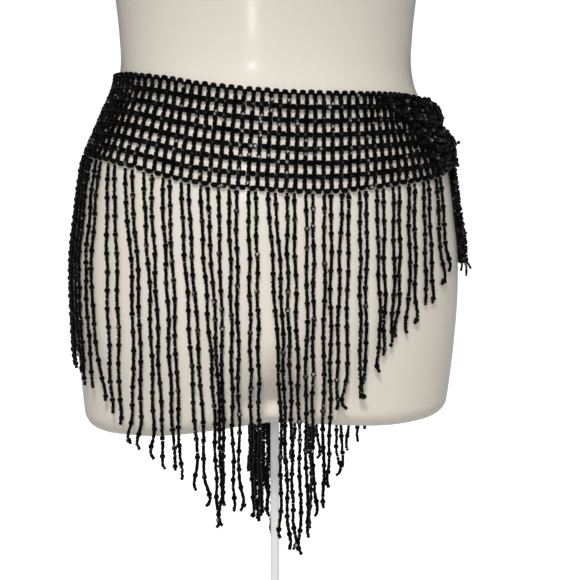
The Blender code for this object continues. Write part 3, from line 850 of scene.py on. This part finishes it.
# number of the crossing, length of its string, and how far the string stands aside a quarter of the
# way down, seven tenths of the way down and at its tip
FRINGE_ROWS = np.array([
    (-67, 0.092, 0, 0, 0),
    (-64, 0.128, 0, 0, 0),
    (-58, 0.207, 0, 0, 0),
    (-56, 0.258, 0.009, 0.020, 0.019),
    (-54, 0.277, 0.007, 0.015, 0.015),
    (-53, 0.294, 0.007, 0.015, 0.013),
    (-52, 0.301, 0.004, 0.009, 0.007),
    (-51, 0.285, 0.008, 0.018, 0.018),
    (-50, 0.354, 0.006, 0.012, 0.012),
    (-49, 0.281, 0.004, 0.008, 0.008),
    (-47, 0.305, 0.006, 0.012, 0.010),
    (-46, 0.363, 0.006, 0.014, 0.010),
    (-44, 0.331, 0, 0.001, 0),
    (-42, 0.350, -0.006, -0.012, -0.013),
    (-39, 0.305, -0.014, -0.032, -0.033),
    (-38, 0.243, -0.005, -0.010, -0.010),
    (-36, 0.240, 0, 0, 0),
    (-30, 0.220, 0, 0, 0),
    (-21, 0.174, 0, 0, 0),
    (-14, 0.204, 0, 0, 0.003),
    (-13, 0.214, 0, 0.001, 0.009),
    (-12, 0.223, 0.005, 0.005, 0.005),
    (-10, 0.246, 0.008, 0.008, 0.004),
    (-7, 0.261, 0.003, 0.004, 0.006),
    (-5, 0.268, 0.002, 0.003, 0.004),
    (-4, 0.275, 0.003, 0.007, 0.010),
    (-2, 0.304, 0.003, 0.009, 0.009),
    (-1, 0.301, 0.003, 0.007, 0.008),
    (0, 0.282, 0.001, 0.001, 0.001),
    (2, 0.285, 0, 0, 0),
    (4, 0.288, 0.001, 0.002, 0.003),
    (5, 0.309, 0.005, 0.012, 0.012),
    (6, 0.319, 0.005, 0.010, 0.014),
    (7, 0.318, 0.001, 0.006, 0.008),
    (8, 0.322, 0.002, 0.007, 0.010),
    (9, 0.306, 0.002, 0.003, 0.007),
    (12, 0.262, 0.001, 0.003, 0.004),
    (13, 0.193, -0.001, -0.001, -0.001),
    (15, 0.184, 0.001, 0.004, 0.006),
    (16, 0.185, 0.001, 0.003, 0.005),
    (17, 0.162, 0.001, 0.006, 0.007),
    (19, 0.143, 0, 0.002, 0),
    (22, 0.126, -0.002, 0, 0),
    (26, 0.086, 0, 0, 0.004),
    (29, 0.080, 0, 0, 0.003),
])
BEND_SHARES = np.array([0, 0.25, 0.7, 1])  # where down a string the table tells how far aside it is
print("strings from", FRINGE_ROWS[:, 1].min(), "to", FRINGE_ROWS[:, 1].max(), "m long")

# %% A string's own sizes
SMALL_LENGTH = 0.00205
SMALL_WIDTH = 0.0032
LARGE_LENGTH = 0.0041
LARGE_WIDTH = 0.0050
SMALL_PER_LARGE = 6
SMALL_DRAWN = 1.22  # small beads sit tight, so each is drawn this much longer than its room
SMALL_SPREAD, LARGE_SPREAD = 0.08, 0.03  # of the beads' widths
THREAD_WIDTH = 0.0007
THREAD_TOP = 0.25  # how far up the first row of cells a bare thread starts, as a share of it
CURL_LENGTH = 0.030
CURL = 0.012
SWAY = 0.0006
SWAY_FROM = 0.05  # how far down a string it sways fully
SHORTEST_SWAY, LONGEST_SWAY = 0.05, 0.09
UNEVEN_SEAT = 0.00016
RAGGED = 0.004  # how uneven the lengths are between the table's rows
RAGGED_TURN = 2.4  # from one crossing to the next, in radians
PATH_SAMPLES = 300


# %% How one string hangs
def pair_shift(number):
    """Strings lean together in pairs, counted both ways from the lone string at crossing 0."""
    if BUNDLE[0] <= number <= BUNDLE[1]:
        return 0.0
    return np.sign(number) * (PAIR_SHIFT if number % 2 else -PAIR_SHIFT)


def strand_path(number):
    """A string's line: a smooth curve through the table's places aside, a slow sine that sways it,
    and an end that curls aside with the square, less the sixth power, of the way into it."""
    position = hem_place(number) + pair_shift(number)
    length, *bends = (np.interp(number, FRINGE_ROWS[:, 0], column) for column in FRINGE_ROWS[:, 1:].T)
    if number not in FRINGE_ROWS[:, 0]:
        length += RAGGED * math.sin(RAGGED_TURN * number)
    drops = np.linspace(0, length, PATH_SAMPLES)
    root = edge_height(1, hem_angle(position)) - ROOT_DROP
    end = np.clip((drops - length + CURL_LENGTH) / CURL_LENGTH, 0, 1)
    curl = CURL * rng.uniform(-1, 1) * (end**2 - end**6)
    wave = 2 * math.pi * drops / rng.uniform(SHORTEST_SWAY, LONGEST_SWAY) + rng.uniform(0, 2 * math.pi)
    sway = SWAY * np.sin(wave) * smooth_step(drops / SWAY_FROM) * (1 - end)
    side = position + through(BEND_SHARES, np.array([0, *bends]), drops / length) + curl + sway
    z = root - drops
    angle = hem_angle(side)
    above = root - drops[:, None] * np.linspace(0, 1, HANG_SAMPLES)
    reach = form_radius(angle[:, None], above) - HANG_LEAN * (above - z[:, None])
    out = reach.max(axis=1) - form_radius(angle, z) + STRING_OUT
    return on_form(side, z, out)


def threaded(path, first_large):
    """The string's small and large beads, as two lots of centres and axes."""
    large = (np.arange(MOST_BEADS) - first_large) % (SMALL_PER_LARGE + 1) == 0
    centres, axes = along_path(path, np.where(large, LARGE_LENGTH, SMALL_LENGTH))
    large = large[: len(centres)]
    return centres[~large], axes[~large], centres[large], axes[large]


# %% The bare threads that the strings hang on
THREAD_BARREL = (5, 3, 0.2)  # sides, bands and bluntness


def bare_threads(name, numbers, roots):
    """A thin rod from each string's root up into the net's first row of cells."""
    tops = net_point(numbers.astype(float), np.full(len(numbers), THREAD_TOP / CELL_ROWS), NET_OUT)
    shape, quads, fans = barrel(*THREAD_BARREL)
    gaps = np.linalg.norm(tops - roots, axis=1)
    widths = np.full(len(numbers), THREAD_WIDTH)
    points = bead_places(shape, (tops + roots) / 2, tops - roots, gaps, widths).reshape(-1, 3)
    faces = copied_faces(quads, fans, len(numbers), len(shape))
    return new_piece(name, points, faces, THREAD)


# %% Both fringes
fringe_pieces = []
for node, first, last in (("fringe_front", FIRST_OF_FRONT, LAST_OF_FRONT),
                          ("fringe_back", FIRST_CROSSING + 1, FIRST_OF_FRONT - 1)):
    numbers = np.arange(first, last + 1)
    paths = [strand_path(number) for number in numbers]
    lots = [threaded(path, rng.integers(1, SMALL_PER_LARGE + 2)) for path in paths]
    small_centres, small_axes, large_centres, large_axes = joined(lots)
    small_centres += rng.normal(0, UNEVEN_SEAT, small_centres.shape)
    swell = np.where((numbers >= BUNDLE[0]) & (numbers <= BUNDLE[1]), BUNDLE_SWELL, 1)
    small_widths = SMALL_WIDTH * np.repeat(swell, [len(lot[0]) for lot in lots])
    small_widths *= rng.normal(1, SMALL_SPREAD, len(small_centres))
    large_widths = LARGE_WIDTH * rng.normal(1, LARGE_SPREAD, len(large_centres))
    # a few of the small and large beads get a painted highlight in their colour
    small = beads(node + "_small_beads", small_centres, small_axes, SMALL_LENGTH * SMALL_DRAWN,
                  small_widths, bands=4, bluntness=0.30, painted_glint_shares=0.03, faint=0.5)
    large = beads(node + "_large_beads", large_centres, large_axes, LARGE_LENGTH, large_widths,
                  bands=5, bluntness=0.5, painted_glint_shares=0.12, faint=0.5)
    threads = bare_threads(node + "_threads", numbers, np.array([path[0] for path in paths]))
    for piece in (small, large, threads):
        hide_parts(node)
    fringe_pieces += [small, large, threads]

# %% [markdown]
# ## The knot and its ties
#
# The net's two ends are gathered and tied at the hip: a tuft of gathered net stands up over the knot,
# and the ties' ends hang below it. All of it is bead strings packed side by side, so each part is a
# bundle: strings wound up a swelling tube whose middle line and size come from a short table, with a
# dark core inside so that no light comes through.

# %% Tables of the knot's parts
# place along the hem from the knot's middle, height over the floor, out, half width, half thickness
KNOT_ROWS = np.array([
    (0.0000, 0.4460, 0.0056, 0.0070, 0.0036),
    (0.0000, 0.4500, 0.0056, 0.0106, 0.0038),
    (0.0000, 0.4560, 0.0058, 0.0122, 0.0042),
    (0.0000, 0.4640, 0.0066, 0.0126, 0.0052),
    (0.0000, 0.4710, 0.0074, 0.0122, 0.0060),
    (0.0000, 0.4780, 0.0062, 0.0106, 0.0048),
    (0.0000, 0.4825, 0.0046, 0.0076, 0.0030),
])
TUFT_ROWS = np.array([
    (-0.0010, 0.4828, 0.0046, 0.0058, 0.0028),
    (-0.0015, 0.4885, 0.0060, 0.0084, 0.0040),
    (-0.0015, 0.4950, 0.0074, 0.0094, 0.0052),
    (-0.0020, 0.5000, 0.0068, 0.0084, 0.0048),
    (-0.0025, 0.5040, 0.0050, 0.0056, 0.0032),
    (-0.0030, 0.5070, 0.0040, 0.0026, 0.0018),
])
LONG_TIE_ROWS = np.array([
    (0.0014, 0.3570, 0.0052, 0.0042, 0.0034),
    (0.0012, 0.3660, 0.0052, 0.0050, 0.0036),
    (0.0006, 0.3800, 0.0055, 0.0050, 0.0036),
    (0.0000, 0.3960, 0.0049, 0.0044, 0.0031),
    (-0.0004, 0.4120, 0.0045, 0.0040, 0.0027),
    (0.0002, 0.4250, 0.0044, 0.0040, 0.0027),
    (0.0014, 0.4370, 0.0046, 0.0042, 0.0030),
    (0.0026, 0.4457, 0.0052, 0.0038, 0.0030),
])
SHORT_TIE_ROWS = np.array([
    (-0.0078, 0.3660, 0.0037, 0.0014, 0.0014),
    (-0.0082, 0.3820, 0.0037, 0.0019, 0.0020),
    (-0.0082, 0.4000, 0.0036, 0.0019, 0.0019),
    (-0.0078, 0.4200, 0.0036, 0.0019, 0.0019),
    (-0.0068, 0.4370, 0.0038, 0.0019, 0.0020),
    (-0.0044, 0.4457, 0.0046, 0.0022, 0.0026),
])
# where the long tie's three loose ends stop: place from the knot's middle, height, out
LOOSE_ENDS = np.array([(0.0050, 0.3510, 0.0122), (0.0010, 0.3440, 0.0076), (-0.0040, 0.3495, 0.0026)])
# the root and the tip of a string that sticks out of the knot, in the same way
SPUR_ENDS = ((0.0060, 0.4650, 0.0095), (0.0040, 0.4672, 0.0188))

# %% Bundles of bead strings
# each kind of bead: its length and its width
KNOT_BEAD = (0.0031, 0.0034)
TUFT_BEAD = (0.0038, 0.0043)
TIE_BEAD = (0.0027, 0.0029)
LOOSE_BEAD = (0.0019, 0.0024)
CORE_SHARE = 0.72
CORE_RINGS, CORE_SIDES = 24, 12
BUNDLE_SAMPLES = 240
LOW_END, HIGH_END = 0.02, 0.98  # cores and bands keep this far inside their bundle's two ends


def bundle_point(rows, share, turn, size):
    """A point at that share of the way up the table's smooth curve: cosine and sine of the turn, times
    half the width and the thickness there and the size, are added to its place along and its out."""
    z = rows[0, 1] + (rows[-1, 1] - rows[0, 1]) * share
    along, out, half_width, half_thickness = (through(rows[:, 1], rows[:, i], z) for i in (0, 2, 3, 4))
    turn = 2 * math.pi * turn
    return by_knot(along + half_width * size * np.cos(turn), z, out + half_thickness * size * np.sin(turn))


def wound(rows, turns, start, share, size):
    """A string's points: its turn round the bundle is start plus turns times its share of the way up."""
    return bundle_point(rows, share, start + turns * share, size)


def core(name, rows, node):
    """A dark tube inside a bundle, at a share of its size."""
    share = np.linspace(LOW_END, HIGH_END, CORE_RINGS)[:, None]
    start = np.linspace(1, 0, CORE_SIDES, endpoint=False)
    piece = closed_tube(name, wound(rows, 0.0, start, share, CORE_SHARE), THREAD)
    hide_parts(node)
    return piece


# %% The strings of the knot, the tuft and the ties
# strings in a bundle, turns up its length and size by the bundle's own
KNOT_WOUND = (19, 0.42, 0.93)
TUFT_WOUND = (12, 0.12, 0.95)
TUFT_LOOSE = (5, -0.20, 1.10)
LONG_TIE_WOUND = (6, -1.1, 0.86)
SHORT_TIE_WOUND = (2, 0.8, 0.62)
# bands round the knot: how many, where their waves start, height of the first, tilt and size
KNOT_BANDS = ((4, 0.10, 0.30, 0.20, 1.02), (3, 0.62, 0.52, 0.16, 1.06))
BAND_STEP = 0.085  # from one band's height to the next one's, by the knot's height
TUFT_SHORTEST, TUFT_STEP = 150, 18  # samples of the shortest loose string, and more for each next one
LOOSE_TURN, LOOSE_FROM, LOOSE_SIZE = 0.05, 0.03, 0.5  # where the loose ends leave the long tie
LOOSE_SAG = np.array([0.00072, -0.00072, 0])
LOOSE_SAMPLES, SPUR_SAMPLES = 40, 20
whole = np.linspace(0, 1, BUNDLE_SAMPLES)


def wound_strings(rows, kind, lengths=None):
    """All of a bundle's strings, spaced evenly round it, each over its own share of the samples."""
    count, turns, size = kind
    lengths = lengths or [BUNDLE_SAMPLES] * count
    return [wound(rows, turns, i / count, whole[:length], size) for i, length in enumerate(lengths)]


def straight(start, end, samples):
    """Points on the straight line from the start to the end."""
    return start + (end - start) * np.linspace(0, 1, samples)[:, None]


def knot_band(start, rise, tilt, size):
    """A turn of string round the knot: its height goes up and down with the sine of the turn."""
    level = np.clip(rise + tilt * np.sin(2 * math.pi * (whole + start)), LOW_END, HIGH_END)
    return bundle_point(KNOT_ROWS, level, whole, size)


knot_strings = wound_strings(KNOT_ROWS, KNOT_WOUND)
for count, start, first, tilt, size in KNOT_BANDS:
    knot_strings += [knot_band(start, first + BAND_STEP * i, tilt, size) for i in range(count)]
knot_strings.append(straight(*(by_knot(*end) for end in SPUR_ENDS), SPUR_SAMPLES))

loose_lengths = [TUFT_SHORTEST + TUFT_STEP * i for i in range(TUFT_LOOSE[0])]
tuft_strings = wound_strings(TUFT_ROWS, TUFT_WOUND)
tuft_strings += wound_strings(TUFT_ROWS, TUFT_LOOSE, loose_lengths)
tie_strings = wound_strings(LONG_TIE_ROWS, LONG_TIE_WOUND)
short_strings = wound_strings(SHORT_TIE_ROWS, SHORT_TIE_WOUND)

# %% The long tie's loose ends
loose_ends = []
for i, end in enumerate(LOOSE_ENDS):
    foot = bundle_point(LONG_TIE_ROWS, np.array([LOOSE_FROM]), LOOSE_TURN + i / 3, LOOSE_SIZE)
    sag = LOOSE_SAG * np.sin(math.pi * np.linspace(0, 1, LOOSE_SAMPLES)[:, None])
    loose_ends.append(straight(foot, by_knot(*end), LOOSE_SAMPLES) + sag)

# %% Their beads and dark cores
knot_pieces = [
    string_beads("knot_strings", knot_strings, "knot", KNOT_BEAD, unseat=0.0005),
    string_beads("tuft_strings", tuft_strings, "knot_tuft", TUFT_BEAD, unseat=0.0010),
    string_beads("tie_long_strings", tie_strings, "tie_long", TIE_BEAD, unseat=0.0004),
    string_beads("tie_loose_ends", loose_ends, "tie_long", LOOSE_BEAD, unseat=0.0001),
    string_beads("tie_short_strings", short_strings, "tie_short", TIE_BEAD),
    core("knot_core", KNOT_ROWS, "knot"),
    core("tuft_core", TUFT_ROWS, "knot_tuft"),
    core("tie_long_core", LONG_TIE_ROWS, "tie_long"),
]

# %% [markdown]
# ## Camera, room and light
#
# A long lens from a little over two metres keeps the belt's rows nearly straight. Small black beads are
# easily lost, so the room is white behind them, the form is lit softly from high in front, and the beads
# reflect a dim room; the few bright specks on them are painted highlights in their colour. Two small soft
# boxes make the two bright spots on the polished waist, and a wide one behind the form keeps the sides and
# the back readable.

# %% The camera
CAMERA_AZIMUTH = math.radians(-7)
CAMERA_ELEVATION = math.radians(6.3)
CAMERA_DISTANCE = 2.2
FRAME_WIDTH = 0.5336  # the width that fits in the frame at that distance
SENSOR_WIDTH = 36  # of a full-frame camera, in millimetres
AIM_HEIGHT = 0.332
AIM_ASIDE = 0.0218


def stand_at(thing, target, azimuth, elevation, distance):
    """Sets a camera or light in that direction and distance from the target, looking at it."""
    bpy.context.scene.collection.objects.link(thing)
    away = place(azimuth, math.cos(elevation), math.sin(elevation))
    thing.location = target + away * distance
    thing.rotation_euler = (math.pi / 2 - elevation, 0, azimuth)


def set_camera():
    """A long lens at the form's height, looking slightly down."""
    right = np.array([math.cos(CAMERA_AZIMUTH), math.sin(CAMERA_AZIMUTH), 0])
    data = bpy.data.cameras.new("camera")
    data.sensor_width = SENSOR_WIDTH
    data.lens = SENSOR_WIDTH * CAMERA_DISTANCE / FRAME_WIDTH
    camera = bpy.data.objects.new("camera", data)
    target = np.array([0, 0, AIM_HEIGHT]) + right * AIM_ASIDE
    stand_at(camera, target, CAMERA_AZIMUTH, CAMERA_ELEVATION, CAMERA_DISTANCE)
    bpy.context.scene.camera = camera
    return data.lens


print("lens of %.0f mm" % set_camera())

# %% The room
WHITE = (1.0, 1.0, 1.0, 1.0)
FLOOR_REACH = 30.0


def set_world():
    """White to the eye, softer as a light, and dim in a reflection, like the dark end of a room."""
    world = bpy.data.worlds.new("white_studio")
    bpy.context.scene.world = world
    world.use_nodes = True
    tree = world.node_tree
    tree.nodes.clear()
    seen, lit, dim, path, mix, result = new_nodes(
        tree, "Background", "Background", "MapRange", "LightPath", "MixShader", "OutputWorld"
    )
    set_inputs(seen, {"Color": WHITE, "Strength": 1.05})
    set_inputs(lit, {"Color": WHITE})
    set_inputs(dim, {"To Min": 0.45, "To Max": 0.08})
    wire(
        tree,
        (path, "Is Glossy Ray", dim, "Value"),
        (dim, "Result", lit, "Strength"),
        (path, "Is Camera Ray", mix, "Fac"),
        (lit, 0, mix, 1),
        (seen, 0, mix, 2),
        (mix, 0, result, "Surface"),
    )


# %% The floor
def set_floor():
    """A white floor that still takes a faint shadow, and throws only a little light back up."""
    mesh = bpy.data.meshes.new("studio_floor")
    corners = FLOOR_REACH * np.array([(-1, -1, 0), (1, -1, 0), (1, 1, 0), (-1, 1, 0)])
    mesh.from_pydata(corners, [], [(0, 1, 2, 3)])
    floor = bpy.data.objects.new("studio_floor", mesh)
    bpy.context.scene.collection.objects.link(floor)
    material, tree, shader = new_material("pale_floor", (0.60, 0.60, 0.60), 0.9)
    set_inputs(shader, {"Specular IOR Level": 0.1, "Emission Color": WHITE})
    path, glow = new_nodes(tree, "LightPath", "MapRange")
    set_inputs(glow, {"To Max": 0.85})
    wire(
        tree,
        (path, "Is Camera Ray", glow, "Value"),
        (glow, "Result", shader, "Emission Strength"),
    )
    mesh.materials.append(material)


set_world()
set_floor()
print("a white room")

# %% The lights
def aim_light(name, data, azimuth, elevation, distance, height, reflected):
    """A light in that direction from a point on the form's axis; the camera never sees it itself."""
    light = bpy.data.objects.new(name, data)
    light.visible_camera, light.visible_glossy = False, reflected
    stand_at(light, [0, 0, height], math.radians(azimuth), math.radians(elevation), distance)
    print(name, "at", tuple(round(value, 2) for value in light.location))


def area_light(name, azimuth, elevation, distance, height, size, power, reflected=True):
    """A soft box of that width and height."""
    data = bpy.data.lights.new(name, "AREA")
    data.shape = "RECTANGLE"
    data.size, data.size_y, data.energy = *size, power
    aim_light(name, data, azimuth, elevation, distance, height, reflected)


def spot_light(name, azimuth, elevation, distance, height, cone, size, power):
    """A spot whose pool of light fades softly from its middle to its edge; no reflection shows it."""
    data = bpy.data.lights.new(name, "SPOT")
    data.spot_size, data.spot_blend = math.radians(cone), 1.0
    data.shadow_soft_size, data.energy = size, power
    aim_light(name, data, azimuth, elevation, distance, height, False)


# azimuth, elevation, distance, height aimed at, cone or size, and power in watts
spot_light("key_spot", -12, 46, 2.6, 0.26, 18, 0.30, 200)
spot_light("front_spot", -10, 12, 2.4, 0.30, 22, 0.25, 56)
area_light("upper_highlight", -4, 3, 1.5, 0.560, (0.08, 0.06), 0.42)
area_light("lower_highlight", -4, 3, 1.5, 0.325, (0.08, 0.07), 0.34)
area_light("back_fill", 172, 22, 2.4, 0.40, (2.6, 1.2), 20, reflected=False)
bpy.context.scene.view_settings.view_transform = "Standard"
